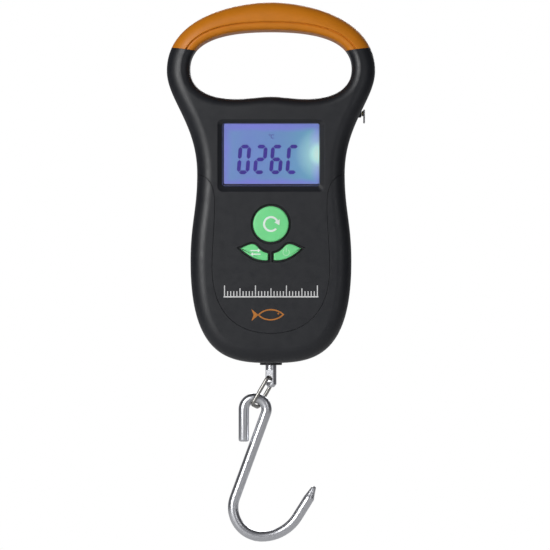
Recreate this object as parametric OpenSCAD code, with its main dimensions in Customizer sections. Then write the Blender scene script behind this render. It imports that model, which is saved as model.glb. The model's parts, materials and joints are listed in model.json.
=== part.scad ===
// Digital hanging fish scale with a loop handle, a swinging S-hook and a pull-out tape.
// Millimetres, +Z up, the display faces -Y. The origin is the centre of the handle's grip bar.

/* [Case outline] */
// Half width of the handle loop at its widest
handle_half_w = 43.9; // [42:0.1:46]
// Half width of the case at its waist
waist_half_w = 31.1; // [30.5:0.1:33]
// Half width of the case at its lower bulge
bulge_half_w = 33.9; // [33:0.1:36]
// Height of the handle's top above the grip bar's centre
top_z = 6.3; // [6:0.1:7]
// Depth of the case's lowest point below the grip bar's centre
drop = 145.7; // [144:0.1:148]
// Thickness of the case, front to back
case_t = 28; // [27:0.5:32]
// Thickness of the handle loop, front to back
handle_t = 23.6; // [22:0.1:26]
// Radius of the case's long outer edges
edge_r = 6.5; // [5:0.1:7]
// Wall thickness of the shells
wall = 2.2; // [1.8:0.1:2.4]

/* [Handle opening] */
// Half width of the finger opening
open_half_w = 34.2; // [32:0.1:34.5]
// Distance of the opening's top below the grip bar's centre
open_top = 5.7; // [5.5:0.1:6.5]
// Distance of the opening's lowest line below the grip bar's centre
open_low = 34.5; // [33:0.1:35]
// Radius of the opening's edges
open_edge_r = 4; // [3:0.1:4.5]
// Thickness of the soft grip skin
grip_skin = 1.6; // [1.2:0.1:1.8]

/* [Display and buttons] */
// Half width of the display window
lcd_half_w = 20.4; // [18:0.1:20.5]
// Height of the display window
lcd_h = 26.2; // [24:0.1:26.5]
// Radius of the reset button
reset_r = 7.5; // [6:0.05:7.8]
// Travel of each button
button_travel = 0.5; // [0.3:0.1:0.6]
// How far each button stands out of the front face
button_proud = 0.8; // [0.6:0.1:1.2]

/* [Hook] */
// Diameter of the S-hook's round bar
hook_bar = 4.4; // [4:0.1:4.6]
// Centreline radius of the hook's upper bend
upper_bend_r = 4.8; // [4.7:0.1:5]
// Centreline radius of the hook's lower bend
lower_bend_r = 12.2; // [11:0.1:13]
// Diameter of the link's wire
link_wire = 1.6; // [1.4:0.1:1.7]
// Diameter of the hook post
post_d = 4.6; // [4.4:0.1:5]

/* [Tape] */
// Width of the measuring tape
tape_w = 5.6; // [5:0.1:5.8]
// Thickness of the measuring tape
tape_t = 0.2; // [0.15:0.05:0.25]

/* [Hidden] */

front_y = -case_t / 2;
back_y = case_t / 2;
eps = 0.02;

// ---- curves -------------------------------------------------------------------------------
function bez(a, b, c, d, n) = [for (i = [0:n - 1]) let (t = i / n)
    pow(1 - t, 3) * a + 3 * pow(1 - t, 2) * t * b + 3 * (1 - t) * t * t * c + pow(t, 3) * d];

// Right half of the case's outline, from the handle's top to the lowest point.
widest_z = -22.5;
waist_z = -66;
bulge_z = -103;
outline_steps = 11;
function outline(n = outline_steps) = concat(
    bez([0, top_z], [14.1, top_z], [handle_half_w, widest_z + 23], [handle_half_w, widest_z], n),
    bez([handle_half_w, widest_z], [handle_half_w, widest_z - 12.2],
        [waist_half_w, waist_z + 21.2], [waist_half_w, waist_z], n),
    bez([waist_half_w, waist_z], [waist_half_w, waist_z - 15.3],
        [bulge_half_w, bulge_z + 16.5], [bulge_half_w, bulge_z], n),
    bez([bulge_half_w, bulge_z], [bulge_half_w, bulge_z - 41.6], [16.5, -drop], [0, -drop], n),
    [[0, -drop]]);

// Right half of the finger opening, from its top to its slightly raised middle.
open_wide_z = -21.3;
open_low_x = 14.5;
open_bump = 1;
function opening_line(n = 9) = concat(
    bez([0, -open_top], [13.7, -open_top],
        [open_half_w, open_wide_z + 14.1], [open_half_w, open_wide_z], n),
    bez([open_half_w, open_wide_z], [open_half_w, open_wide_z - 5],
        [open_low_x + 17, -open_low], [open_low_x, -open_low], n),
    bez([open_low_x, -open_low], [open_low_x - 5, -open_low],
        [4, open_bump - open_low], [0, open_bump - open_low], 4),
    [[0, open_bump - open_low]]);

// A chain moved sideways by d: inwards for a chain that runs clockwise seen from the front.
function unit(v) = v / norm(v);
function shifted(c, d) = [for (i = [0:len(c) - 1])
    let (last = len(c) - 1,
         before = i == 0 ? [-c[1].x, c[1].y] : c[i - 1],
         after = i == last ? [-c[last - 1].x, c[last - 1].y] : c[i + 1],
         t = unit(after - before))
    [c[i].x + d * t.y, c[i].y - d * t.x]];

// Half thickness of the case at height z, thinner round the handle loop.
thin_from = -42;
thin_to = -12;
function half_depth(z) = let (s = min(1, max(0, (z - thin_from) / (thin_to - thin_from))))
    case_t / 2 - (case_t - handle_t) / 2 * s * s * (3 - 2 * s);

// Closed solid swept from front to back: each ring is [sideways shift, y as a share of half depth,
// distance taken off the half depth]. Both ends are closed by level strips, so they may bend.
module ring_solid(chain, rings) {
    m = len(chain);
    n = 2 * (m - 1);
    k = len(rings);
    pts = [for (r = rings) let (c = shifted(chain, r[0])) for (i = [0:n - 1])
        let (p = i < m ? c[i] : [-c[n - i].x, c[n - i].y])
        [p.x, r[1] * (half_depth(p.y) - r[2]), p.y]];
    sides = [for (j = [0:k - 2], i = [0:n - 1]) let (a = j * n + i, b = j * n + (i + 1) % n)
        each [[a, a + n, b], [b, a + n, b + n]]];
    front = [for (i = [0:m - 2]) let (l = (n - i) % n) each
        (i == 0 ? [[0, 1, n - 1]] : i == m - 2 ? [[i, i + 1, l]] : [[i, i + 1, l - 1], [i, l - 1, l]])];
    back = [for (f = front) [for (v = [2, 1, 0]) f[v] + (k - 1) * n]];
    polyhedron(points = pts, faces = concat(sides, front, back), convexity = 6);
}

// Rings of a rounded edge of radius r, front to back, shifted by d, on a depth reduced by d.
edge_steps = 5;
function edge_rings(r, d, way = 1) = let (h = case_t / 2 - d,
    arc = [for (i = [0:edge_steps]) let (a = 90 * i / edge_steps)
        [r * (1 - sin(a)), (h - r + r * cos(a)) / h]])
    concat([for (a = arc) [way * (d + a[0]), -a[1], d]],
           [for (i = [edge_steps:-1:0]) [way * (d + arc[i][0]), arc[i][1], d]]);

module case_solid(d) ring_solid(outline(), edge_rings(edge_r - d * 0.6, d));

// The finger opening, grown by d, flaring at both faces by its edge radius.
module opening_solid(d) {
    core = edge_rings(open_edge_r, 0, -1);
    grown = [for (r = core) [r[0] - d, r[1], d]];
    past = 1.3;
    ring_solid(opening_line(), concat([[grown[0][0], -past, d]], grown, [[grown[0][0], past, d]]));
}

// Space above the lower edge of the soft grip, on both arms of the handle.
grip_low_z = -13.4;
module grip_zone() rotate([90, 0, 0]) linear_extrude(60, center = true)
    polygon([[-60, grip_low_z + 3], [-30, grip_low_z - 1], [30, grip_low_z - 1], [60, grip_low_z + 3],
        [60, 20], [-60, 20]]);

module loop_solid(d) difference() {
    case_solid(d);
    opening_solid(d);
}

// ---- the two shells -----------------------------------------------------------------------
seam_z = -66.3;
tongue_low_z = -133.1;
// Right half of the front cover's lower seam, from the side wall down round the tongue.
function tongue_line() = concat(
    bez([50, seam_z], [40, seam_z], [36, seam_z], [31.5, seam_z], 2),
    bez([31.5, seam_z], [26.5, seam_z], [23.6, -71], [23.6, -78], 8),
    bez([23.6, -78], [23.6, -88], [24.7, -96], [24.7, -106], 5),
    bez([24.7, -106], [24.7, -121.5], [17, tongue_low_z], [0, tongue_low_z], 11),
    [[0, tongue_low_z]]);

module front_zone(gap) {
    half = tongue_line();
    far = len(half) - 1;
    rotate([90, 0, 0]) translate([0, 0, gap]) linear_extrude(30) offset(delta = -gap)
        polygon(concat([[-50, 20], [50, 20]], half, [for (i = [far - 1:-1:0]) [-half[i].x, half[i].y]]));
}

handle_split_z = -36.5;
handle_wall = 3.4;
module cavity() {
    difference() {
        intersection() {
            case_solid(wall);
            translate([-60, -30, -160]) cube([120, 60, 160 + handle_split_z]);
        }
        opening_solid(wall);
    }
    difference() {
        intersection() {
            case_solid(handle_wall);
            translate([-60, -30, handle_split_z - eps]) cube([120, 60, 50]);
        }
        opening_solid(handle_wall);
    }
}

module hollow_case() difference() {
    union() {
        difference() {
            loop_solid(0);
            grip_zone();
        }
        loop_solid(grip_skin);
    }
    cavity();
}

// Screws that close the case: [x, z].
case_screw_at = [[-28.4, -52], [28.4, -52], [-17.6, -120], [17.6, -120]];
screw_r = 1.2;
screw_gap = 0.05;
boss_r = 2.9;
screw_head_r = 2.4;
screw_head_y = 9.4;
inner_front = front_y + wall;
inner_back = back_y - wall;

// Tapered round boss along Y between two depths, with one tapered rib down to the wall.
module boss(x, z, y0, y1, r, foot) {
    hull() {
        translate([x, y0, z]) rotate([-90, 0, 0]) cylinder(r = r, h = y1 - y0, $fn = 24);
        translate([x, foot, z]) rotate([90, 0, 0]) cylinder(r = r + 0.5, h = 0.2, center = true, $fn = 24);
    }
    hull() {
        translate([x - 0.6, min(y0, y1), z]) cube([1.2, y1 - y0, r + 0.6]);
        translate([x - 0.6, foot - 0.1, z]) cube([1.2, 0.2, r + 2.6]);
    }
}

// Display window and its sloped surround.
lcd_top_z = -44.9;
lcd_mid_z = lcd_top_z - lcd_h / 2;
bezel_w = 2.1;
bezel_depth = 1.4;
window_t = 1.5;
window_y = front_y + bezel_depth;
module rounded_plate(half_w, h, z, y0, t, r) translate([0, y0, z]) rotate([-90, 0, 0])
    linear_extrude(t) offset(r = r, $fn = 24) square([2 * (half_w - r), h - 2 * r], center = true);

// Places of the buttons.
reset_z = -87.2;
button_gap = 0.65;
// Leaf button left of the middle: tip, crown, inner edge and rounded belly.
leaf_tip = [-12.8, -97.4];
leaf_crown = [-7.8, -95.6];
leaf_inner_top = [-1.2, -99.5];
leaf_inner_low = [-1.2, -102.4];
leaf_pts = concat(bez(leaf_tip, [-11, -96.9], [-9.6, -95.6], leaf_crown, 5),
    bez(leaf_crown, [-5.4, -95.6], [-5.4, -98.6], leaf_inner_top, 7),
    [leaf_inner_top],
    bez(leaf_inner_low, [-5.6, -102.8], [-9.2, -100.9], leaf_tip, 8));
leaf_mid = [-5.2, -100];
module leaf_2d(grow) offset(delta = grow) polygon(leaf_pts);

// Screws that hold the circuit board on posts of the front shell: [x, z].
pcb_screw_at = [[-20.5, -86], [20.5, -86], [-20, -103.5], [20, -103.5]];
pcb_front = -6.4;
pcb_t = 1.6;
pcb_back = pcb_front + pcb_t;

module front_shell() color([0.16, 0.165, 0.175]) difference() {
    union() {
        intersection() {
            hollow_case();
            front_zone(0.1);
        }
        for (p = case_screw_at) boss(p.x, p.y, inner_front - 0.3, 0.3, boss_r - 0.3, inner_front);
        for (p = pcb_screw_at) boss(p.x, p.y, inner_front - 0.3, pcb_front - 0.05, 1.7, inner_front);
    }
    hull() {
        rounded_plate(lcd_half_w + bezel_w, lcd_h + 2 * bezel_w, lcd_mid_z - 0.4, front_y - 0.1, 0.1, 2.2);
        rounded_plate(lcd_half_w, lcd_h, lcd_mid_z, window_y, 0.1, 1.2);
    }
    rounded_plate(lcd_half_w + 0.15, lcd_h + 0.3, lcd_mid_z, window_y - 0.1, 4, 1.35);
    translate([0, -20, reset_z]) rotate([-90, 0, 0]) cylinder(r = reset_r + button_gap, h = 15, $fn = 64);
    for (side = [0, 1]) mirror([side, 0, 0]) translate([0, -20, 0]) rotate([-90, 0, 0]) mirror([0, 1, 0])
        linear_extrude(15) leaf_2d(button_gap);
    for (p = case_screw_at) translate([p.x, -10, p.y]) rotate([-90, 0, 0])
        cylinder(r = screw_r + screw_gap, h = 20, $fn = 20);
    for (p = pcb_screw_at) translate([p.x, -10.6, p.y]) rotate([-90, 0, 0])
        cylinder(r = 0.95, h = 20, $fn = 20);
}

// Battery bay in the back: two cells side by side.
cell_r = 5.25;
cell_len = 44.5;
cell_y = 6.55;
cell_z = [-71.3, -82.2];
bay_half_w = 26.6;
bay_top = -65.4;
bay_low = -88.1;
bay_wall = 1.3;
bay_floor_y = 0.2;
bay_floor_t = 1;
door_t = 2;
door_gap = 0.25;
door_top = bay_top + 0.8;
door_low = bay_low - 0.6;
door_half_w = 24.4;
door_in_y = back_y - door_t;
tab_x = 14;
tab_w = 6;

// Load cell, its bracket and the post under it.
cell_top = -94;
cell_low = -133;
cell_half_w = 13;
load_y = [-4, 4];
load_mid_y = (load_y[0] + load_y[1]) / 2;
bracket_t = 2;
bracket_half_w = 25.5;
bracket_y = [-3.6, 9.4];
bracket_screw_x = 21.5;
bracket_screw_y = 5.4;
ledge_low = -101;
collar_neck_r = 3.6;

// Tape unit: the spool turns about Y.
spool_x = 13;
spool_z = -50.8;
spool_y = 5.5;
coil_r = 10.2;
tape_top_z = spool_z + coil_r + 0.15;
mouth_x = 37.2;
tape_end_x = 39.1;
mouth_half = [1.5, 3.7];

module rear_shell() color([0.15, 0.155, 0.165]) difference() {
    union() {
        difference() {
            hollow_case();
            front_zone(-0.1);
        }
        translate([-bay_half_w - bay_wall, bay_floor_y, bay_low - bay_wall])
            cube([2 * (bay_half_w + bay_wall), inner_back - bay_floor_y + 0.3,
                bay_top - bay_low + 2 * bay_wall]);
        for (side = [-1, 1]) translate([side * 23 - 5.6, 0.4, ledge_low])
            cube([11.2, inner_back, cell_top - 0.1 - ledge_low]);
        for (p = case_screw_at) boss(p.x, p.y, 0.4, inner_back + 0.3, boss_r, inner_back);
    }
    // Room for the cells under the back wall, and the door's opening with its tab pockets.
    translate([-bay_half_w, bay_floor_y + bay_floor_t, bay_low])
        cube([2 * bay_half_w, door_in_y - bay_floor_y - bay_floor_t, bay_top - bay_low]);
    translate([-door_half_w - door_gap, door_in_y - 0.1, door_low - door_gap])
        cube([2 * (door_half_w + door_gap), 9, door_top - door_low + 2 * door_gap]);
    for (side = [-1, 1]) translate([side * tab_x - tab_w / 2 - 0.4, door_in_y - 4.4, bay_low - 2.4])
        cube([tab_w + 0.8, 4.3, 4]);
    for (p = case_screw_at) translate([p.x, 0, p.y]) rotate([-90, 0, 0]) {
        cylinder(r = screw_r + 0.15, h = 30, $fn = 20);
        translate([0, 0, screw_head_y]) cylinder(r = screw_head_r + 0.2, h = 30, $fn = 28);
    }
    for (side = [-1, 1]) translate([side * bracket_screw_x, bracket_screw_y, ledge_low - 1])
        cylinder(r = screw_r + screw_gap, h = 20, $fn = 20);
    translate([0, load_mid_y, -drop - 5]) cylinder(r = collar_neck_r + 0.1, h = 12, $fn = 40);
    translate([mouth_x - 6, spool_y - mouth_half[1], tape_top_z - mouth_half[0]])
        cube([12, 2 * mouth_half[1], 2 * mouth_half[0]]);
}

// Shallow thumb grooves across the back of the grip.
grip_gap = 0.03;
groove_r = 1.2;
groove_depth = 0.5;
groove_z = [-1.6, 2];
groove_x = [-17.5, -12.5, -7.5, -2.5, 2.5, 7.5, 12.5, 17.5];
module handle_grip() color([0.79, 0.47, 0.1]) difference() {
    intersection() {
        loop_solid(0);
        grip_zone();
    }
    loop_solid(grip_skin - grip_gap);
    for (x = groove_x) hull() for (z = groove_z)
        translate([x, handle_t / 2 + groove_r - groove_depth, z]) sphere(r = groove_r, $fn = 16);
}

// ---- display and electronics --------------------------------------------------------------
module bar(x, y, z) translate([x[0], y[0], z[0]]) cube([x[1] - x[0], y[1] - y[0], z[1] - z[0]]);
module rod_y(x, y, z, r, n = 32) translate([x, y[0], z]) rotate([-90, 0, 0])
    cylinder(r = r, h = y[1] - y[0], $fn = n);
module rod_z(x, y, z, r, n = 32) translate([x, y, z[0]])
    cylinder(r = r, h = z[1] - z[0], $fn = n);

module lcd_window() color([0.35, 0.4, 0.7, 0.4])
    rounded_plate(lcd_half_w, lcd_h, lcd_mid_z, window_y, window_t, 1.2);

glass_y = [window_y + window_t + 0.05, -9.0];
glass_half_w = 22.6;
glass_z = [-76.6, -44];
light_y = [glass_y[1] + 0.05, pcb_front - 0.2];
light_z = [-73.4, -44];
module lcd_glass() color([0.5, 0.6, 0.9]) bar([-glass_half_w, glass_half_w], glass_y, glass_z);

module backlight() color([0.85, 0.9, 1]) bar([-glass_half_w, glass_half_w], light_y, light_z);

zebra_z = [-76.4, -74.4];
module zebra_strip() color([0.85, 0.45, 0.55])
    bar([-20, 20], [glass_y[1] + 0.02, pcb_front - 0.02], zebra_z);

frame_edge = 1.4;
module lcd_frame() color([0.9, 0.9, 0.88]) difference() {
    bar([-glass_half_w - frame_edge, glass_half_w + frame_edge], [-10.6, pcb_front - 0.02],
        [glass_z[0] - frame_edge, glass_z[1] + frame_edge]);
    bar([-glass_half_w - 0.05, glass_half_w + 0.05], [-20, 0], [glass_z[0] - 0.05, glass_z[1] + 0.05]);
}

pcb_half_w = 23.8;
pcb_z = [-106, -43];
module pcb() color([0.1, 0.42, 0.22]) difference() {
    bar([-pcb_half_w, pcb_half_w], [pcb_front, pcb_back], pcb_z);
    for (p = pcb_screw_at) rod_y(p.x, [-20, 0], p.y, 1.2);
}

// Black epoxy dome over the chip on the board's back.
cob_r = 6;
cob_h = 1.3;
cob_steps = 6;
module cob_chip() color([0.06, 0.06, 0.06]) translate([-8, pcb_back, -70]) rotate([-90, 0, 0])
    rotate_extrude($fn = 48) polygon(concat([[0, 0]],
        [for (i = [0:cob_steps]) [cob_r * cos(90 * i / cob_steps), cob_h * sin(90 * i / cob_steps)]]));

pcb_screw_head_r = 1.9;
module pcb_screws() color([0.75, 0.75, 0.77]) for (p = pcb_screw_at) {
    rod_y(p.x, [-10.4, pcb_back], p.y, 0.9);
    difference() {
        rod_y(p.x, [pcb_back, pcb_back + 1.2], p.y, pcb_screw_head_r);
        cross_slot(p.x, pcb_back + 1.2, p.y, 1.1);
    }
}

// Cross recess sunk into a screw head whose outer face lies at y.
module cross_slot(x, y, z, r) for (a = [0, 90]) translate([x, y, z]) rotate([0, a, 0])
    cube([2 * r, 1.4, 0.5], center = true);

// Push switches under the buttons: [x, z].
switch_at = [[0, reset_z], [leaf_mid.x, leaf_mid.y], [-leaf_mid.x, leaf_mid.y]];
stem_r = 1.5;
switch_front = -9.6;
stem_end = -8.4;
well_floor = stem_end + button_travel + 0.3;
module tact_switches() color([0.2, 0.2, 0.21]) for (p = switch_at) difference() {
    bar([p.x - 3, p.x + 3], [switch_front, pcb_front], [p.y - 3, p.y + 3]);
    rod_y(p.x, [-20, well_floor], p.y, stem_r + 0.15);
}

button_y = [front_y - button_proud, inner_front + 0.15];
flange_y = [inner_front + 0.15, inner_front + 0.95];
module reset_button() color([0.48, 0.88, 0.56]) {
    rod_y(0, button_y, reset_z, reset_r, 96);
    rod_y(0, flange_y, reset_z, reset_r + 0.9, 64);
    rod_y(0, [flange_y[1], stem_end], reset_z, stem_r);
}

module leaf_button() {
    translate([0, button_y[0], 0]) rotate([-90, 0, 0]) mirror([0, 1, 0])
        linear_extrude(flange_y[1] - button_y[0]) polygon(leaf_pts);
    bar([leaf_mid.x - 2.2, leaf_mid.x + 2.2], flange_y, [leaf_mid.y - 3.2, leaf_mid.y + 2.2]);
    rod_y(leaf_mid.x, [flange_y[1], stem_end], leaf_mid.y, stem_r);
}
module unit_button() color([0.48, 0.88, 0.56]) leaf_button();
module power_button() color([0.48, 0.88, 0.56]) mirror([1, 0, 0]) leaf_button();

case_screw_end = -9.6;
module case_screws() color([0.6, 0.6, 0.62]) for (p = case_screw_at) {
    rod_y(p.x, [case_screw_end, screw_head_y + 0.02], p.y, screw_r);
    difference() {
        rod_y(p.x, [screw_head_y + 0.02, screw_head_y + 1.6], p.y, screw_head_r);
        cross_slot(p.x, screw_head_y + 1.6, p.y, 1.5);
    }
}

// ---- battery bay --------------------------------------------------------------------------
grip_ribs = 6;
rib_pitch = 1.6;
module battery_door() color([0.16, 0.165, 0.175]) difference() {
    union() {
        bar([-door_half_w, door_half_w], [door_in_y, back_y], [door_low, door_top]);
        // Each tab steps in from the door and reaches under the shell's edge with its toe.
        for (side = [-1, 1]) {
            bar([side * tab_x - tab_w / 2, side * tab_x + tab_w / 2], [door_in_y - 1.4, door_in_y + 0.1],
                [door_low + 0.3, door_low + 2]);
            bar([side * tab_x - tab_w / 2, side * tab_x + tab_w / 2], [door_in_y - 1.4, door_in_y - 0.3],
                [door_low - 0.9, door_low + 1]);
        }
        bar([-4, 4], [door_in_y - 2.4, door_in_y + 0.1], [door_top - 2.1, door_top - 1.3]);
    }
    for (i = [0:grip_ribs - 1]) let (z = door_top - 3.2 - i * rib_pitch)
        bar([-7, 7], [back_y - 0.5, back_y + 1], [z, z + 0.6]);
}

nub_r = 1.9;
module batteries() color([0.75, 0.6, 0.2]) for (i = [0, 1]) mirror([i, 0, 0]) {
    translate([-cell_len / 2, cell_y, cell_z[i]]) rotate([0, 90, 0]) {
        cylinder(r = cell_r, h = cell_len - 1, $fn = 48);
        cylinder(r = nub_r, h = cell_len, $fn = 32);
    }
}

// Coil springs press the flat ends of the cells, plates meet their nubs.
spring_wire = 0.5;
spring_turns = 4;
contact_x = bay_half_w - 0.6;
module contact_springs() color([0.8, 0.8, 0.82]) for (i = [0, 1]) mirror([i, 0, 0])
    for (t = [0:spring_turns - 1])
        translate([-contact_x + 0.35 + t * 0.85, cell_y, cell_z[i]]) rotate([0, 90, 0])
            rotate_extrude($fn = 32) translate([3.6 - t * 0.35, 0]) circle(r = spring_wire, $fn = 12);

module contact_plates() color([0.8, 0.8, 0.82]) {
    bar([-bay_half_w + 0.1, -contact_x - 0.2], [2.4, 10.4], [cell_z[1] - 4, cell_z[0] + 4]);
    for (i = [0, 1]) bar([contact_x + 0.2, bay_half_w - 0.1], [2.4, 10.4], [cell_z[i] - 4, cell_z[i] + 4]);
    for (i = [0, 1]) mirror([i, 0, 0])
        bar([cell_len / 2 + 0.05, contact_x + 0.2], [cell_y - 1.5, cell_y + 1.5],
            [cell_z[i] - 1.5, cell_z[i] + 1.5]);
}

wire_r = 0.5;
wire_back = -0.8;
module battery_wires() for (i = [0, 1]) color(i == 0 ? "red" : [0.08, 0.08, 0.08]) {
    rod_y(18 + 3 * i, [pcb_back, wire_back], -66 - 4 * i, wire_r, 16);
    translate([18 + 3 * i, wire_back, -66 - 4 * i]) {
        sphere(r = wire_r, $fn = 16);
        rotate([0, 90, 0]) cylinder(r = wire_r, h = 7 - 3 * i, $fn = 16);
    }
}

// ---- weighing parts -----------------------------------------------------------------------
slot_half = 0.9;
web_hole_r = 4.4;
web_z = [-109.5, -117.5];
upper_slot_z = -102.5;
lower_slot_z = -124.5;
thread_r = 2;
cell_bolt_low = cell_top - 5.5;
post_thread_top = cell_low + 6;
module load_cell() color([0.78, 0.79, 0.8]) difference() {
    bar([-cell_half_w, cell_half_w], load_y, [cell_low, cell_top]);
    bar([-cell_half_w - 1, cell_half_w - 4], [-20, 20],
        [upper_slot_z - slot_half, upper_slot_z + slot_half]);
    bar([4 - cell_half_w, cell_half_w + 1], [-20, 20],
        [lower_slot_z - slot_half, lower_slot_z + slot_half]);
    for (z = web_z) rod_y(0, [-20, 20], z, web_hole_r, 48);
    rod_z(0, load_mid_y, [cell_bolt_low - 0.5, cell_top + 1], thread_r + 0.05);
    rod_z(0, load_mid_y, [cell_low - 1, post_thread_top + 0.5], thread_r + 0.05);
}

module strain_gauges() color([0.85, 0.7, 0.35]) for (side = [-1, 1])
    bar([side * 8.5 - 2, side * 8.5 + 2], [load_y[0] - 0.25, load_y[0]], [-117, -110]);

// Four thin leads from the gauges up to the board's lower edge.
gauge_wire_r = 0.3;
gauge_wire_x = [-8.9, -8.1, 8.1, 8.9];
gauge_wire_colour = ["red", "black", "green", "white"];
gauge_wire_z = -112;
wire_lane_y = load_y[0] - 1.3;
module gauge_wires() for (i = [0:3]) color(gauge_wire_colour[i]) {
    rod_z(gauge_wire_x[i], wire_lane_y, [gauge_wire_z, pcb_z[0] - 0.02], gauge_wire_r, 14);
    translate([gauge_wire_x[i], wire_lane_y, gauge_wire_z]) sphere(r = gauge_wire_r, $fn = 14);
    rod_y(gauge_wire_x[i], [wire_lane_y, load_y[0] - 0.27], gauge_wire_z, gauge_wire_r, 14);
}

module cell_bracket() color([0.7, 0.71, 0.72]) difference() {
    bar([-bracket_half_w, bracket_half_w], bracket_y, [cell_top, cell_top + bracket_t]);
    rod_z(0, load_mid_y, [cell_top - 1, cell_top + 5], thread_r + 0.2);
    for (side = [-1, 1])
        rod_z(side * bracket_screw_x, bracket_screw_y, [cell_top - 1, cell_top + 5], screw_r + 0.2);
}

head_h = 1.5;
module bracket_screws() color([0.6, 0.6, 0.62]) for (side = [-1, 1]) {
    rod_z(side * bracket_screw_x, bracket_screw_y, [cell_top - 6, cell_top + bracket_t], screw_r);
    rod_z(side * bracket_screw_x, bracket_screw_y, [cell_top + bracket_t, cell_top + bracket_t + head_h],
        screw_head_r);
}

module cell_bolt() color([0.6, 0.6, 0.62]) {
    rod_z(0, load_mid_y, [cell_bolt_low, cell_top + bracket_t], thread_r);
    rod_z(0, load_mid_y, [cell_top + bracket_t, cell_top + bracket_t + head_h], 3.6);
}

// ---- post, link and hook ------------------------------------------------------------------
eye_z = -152.3;
eye_r = 1.45;
post_low = -156;
eye_turn = 25;
eye_flat = 3.6;
nut_h = 2.6;
module turned(a) rotate([0, 0, a]) children();
module hook_post() color([0.72, 0.73, 0.74]) translate([0, load_mid_y, 0]) difference() {
    union() {
        rod_z(0, 0, [cell_low - nut_h - 0.4, post_thread_top], thread_r);
        rod_z(0, 0, [post_low + 1.2, cell_low - nut_h - 0.4], post_d / 2, 48);
        translate([0, 0, post_low]) cylinder(r1 = post_d / 2 - 1, r2 = post_d / 2, h = 1.2, $fn = 48);
    }
    turned(-eye_turn) {
        rod_y(0, [-5, 5], eye_z, eye_r);
        for (side = [-1, 1]) translate([-5, side * (eye_flat / 2 + 2.5) - 2.5, post_low - 1])
            cube([10, 5, eye_z + 3.6 - post_low + 1]);
    }
}

module post_nut() color([0.72, 0.73, 0.74]) difference() {
    translate([0, load_mid_y, cell_low - nut_h - 0.1]) cylinder(r = 4, h = nut_h, $fn = 6);
    rod_z(0, load_mid_y, [cell_low - 5, cell_low + 5], thread_r + 0.05);
}

module exit_collar() color([0.05, 0.05, 0.055]) translate([0, load_mid_y, 0]) difference() {
    union() {
        rod_z(0, 0, [-drop - 0.9, -drop - eps], collar_neck_r + 1.05, 48);
        rod_z(0, 0, [-drop - 0.4, -drop + 3], collar_neck_r - 0.03, 48);
    }
    rod_z(0, 0, [-drop - 3, -drop + 5], post_d / 2 + 0.3, 48);
}

// The hook's bends lie in the XZ plane: centres of the two bends, and the tip's bend.
bend_top = [-6.7, -165.4];
bend_low = [-3.8, -206.9];
tip_bend_r = 17.6;
tip_turn = 58;
tip_straight = 9.6;
tip_cone = 4.9;
leg_len = 11.4;
bends_run = norm(bend_top - bend_low);
shank_lean = asin((upper_bend_r + lower_bend_r) / bends_run)
    - atan2(bend_low.x - bend_top.x, bend_top.y - bend_low.y);
hook_n = 24;

function on_bend(c, r, a) = c + r * [cos(a), sin(a)];
// Stations of a bend, as [point, bar radius].
function bend(c, r, a0, a1, w, n) = [for (i = [0:n]) [on_bend(c, r, a0 + (a1 - a0) * i / n), w]];

// Round bar swept along stations in the XY plane, as one closed solid.
module swept_bar(stations, sides, closed = false) {
    k = len(stations);
    pts = [for (i = [0:k - 1]) let (p = stations[i][0], w = stations[i][1],
        before = i == 0 ? (closed ? stations[k - 1][0] : p) : stations[i - 1][0],
        after = i == k - 1 ? (closed ? stations[0][0] : p) : stations[i + 1][0],
        t = unit(after - before)) for (a = [0:sides - 1]) let (b = 360 * a / sides)
        [p.x - t.y * w * cos(b), p.y + t.x * w * cos(b), w * sin(b)]];
    sides_faces = [for (i = [0:(closed ? k - 1 : k - 2)], a = [0:sides - 1])
        let (n0 = i * sides, n1 = ((i + 1) % k) * sides, b = (a + 1) % sides)
        each [[n0 + a, n1 + a, n0 + b], [n0 + b, n1 + a, n1 + b]]];
    ends = closed ? [] : [[for (a = [0:sides - 1]) a], [for (a = [sides - 1:-1:0]) (k - 1) * sides + a]];
    polyhedron(points = pts, faces = concat(sides_faces, ends), convexity = 6);
}

// The leg ends square with a small chamfer; the point is ground from one side, so it leans to the other.
leg_chamfer = 0.5;
tip_blunt_r = 0.7;
tip_drift = 0.8;
module s_hook() color([0.72, 0.73, 0.75]) translate([0, load_mid_y, 0]) rotate([90, 0, 0]) {
    w = hook_bar / 2;
    bend_tip = bend_low + [0, tip_bend_r - lower_bend_r];
    tip_way = [cos(tip_turn), sin(tip_turn)];
    tip_side = [-sin(tip_turn), cos(tip_turn)];
    tip_start = on_bend(bend_tip, tip_bend_r, tip_turn - 90);
    cone_start = tip_start + tip_straight * tip_way;
    leg_end = bend_top - [upper_bend_r, leg_len + w];
    swept_bar(concat(
        [[leg_end, w - leg_chamfer], [leg_end + [0, leg_chamfer], w]],
        bend(bend_top, upper_bend_r, 180, -shank_lean, w, 20),
        bend(bend_low, lower_bend_r, 180 - shank_lean, 270, w, 12),
        bend(bend_tip, tip_bend_r, 270 + tip_turn / 6, 270 + tip_turn, w, 5),
        [[cone_start, w], [cone_start + tip_cone * tip_way + tip_drift * tip_side, tip_blunt_r]]), hook_n);
}

// The link hangs from the post's eye to the inside of the hook's upper bend.
link_half_w = 3.9;
link_corner_r = 1.6;
link_foot = [bend_top.x, bend_top.y + upper_bend_r - hook_bar / 2 - link_wire / 2 - 0.2];
link_run = [link_foot.x, 0, link_foot.y - eye_z];
link_drop = norm(link_run);
eye_axis = [-sin(eye_turn), -cos(eye_turn), 0];
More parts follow.
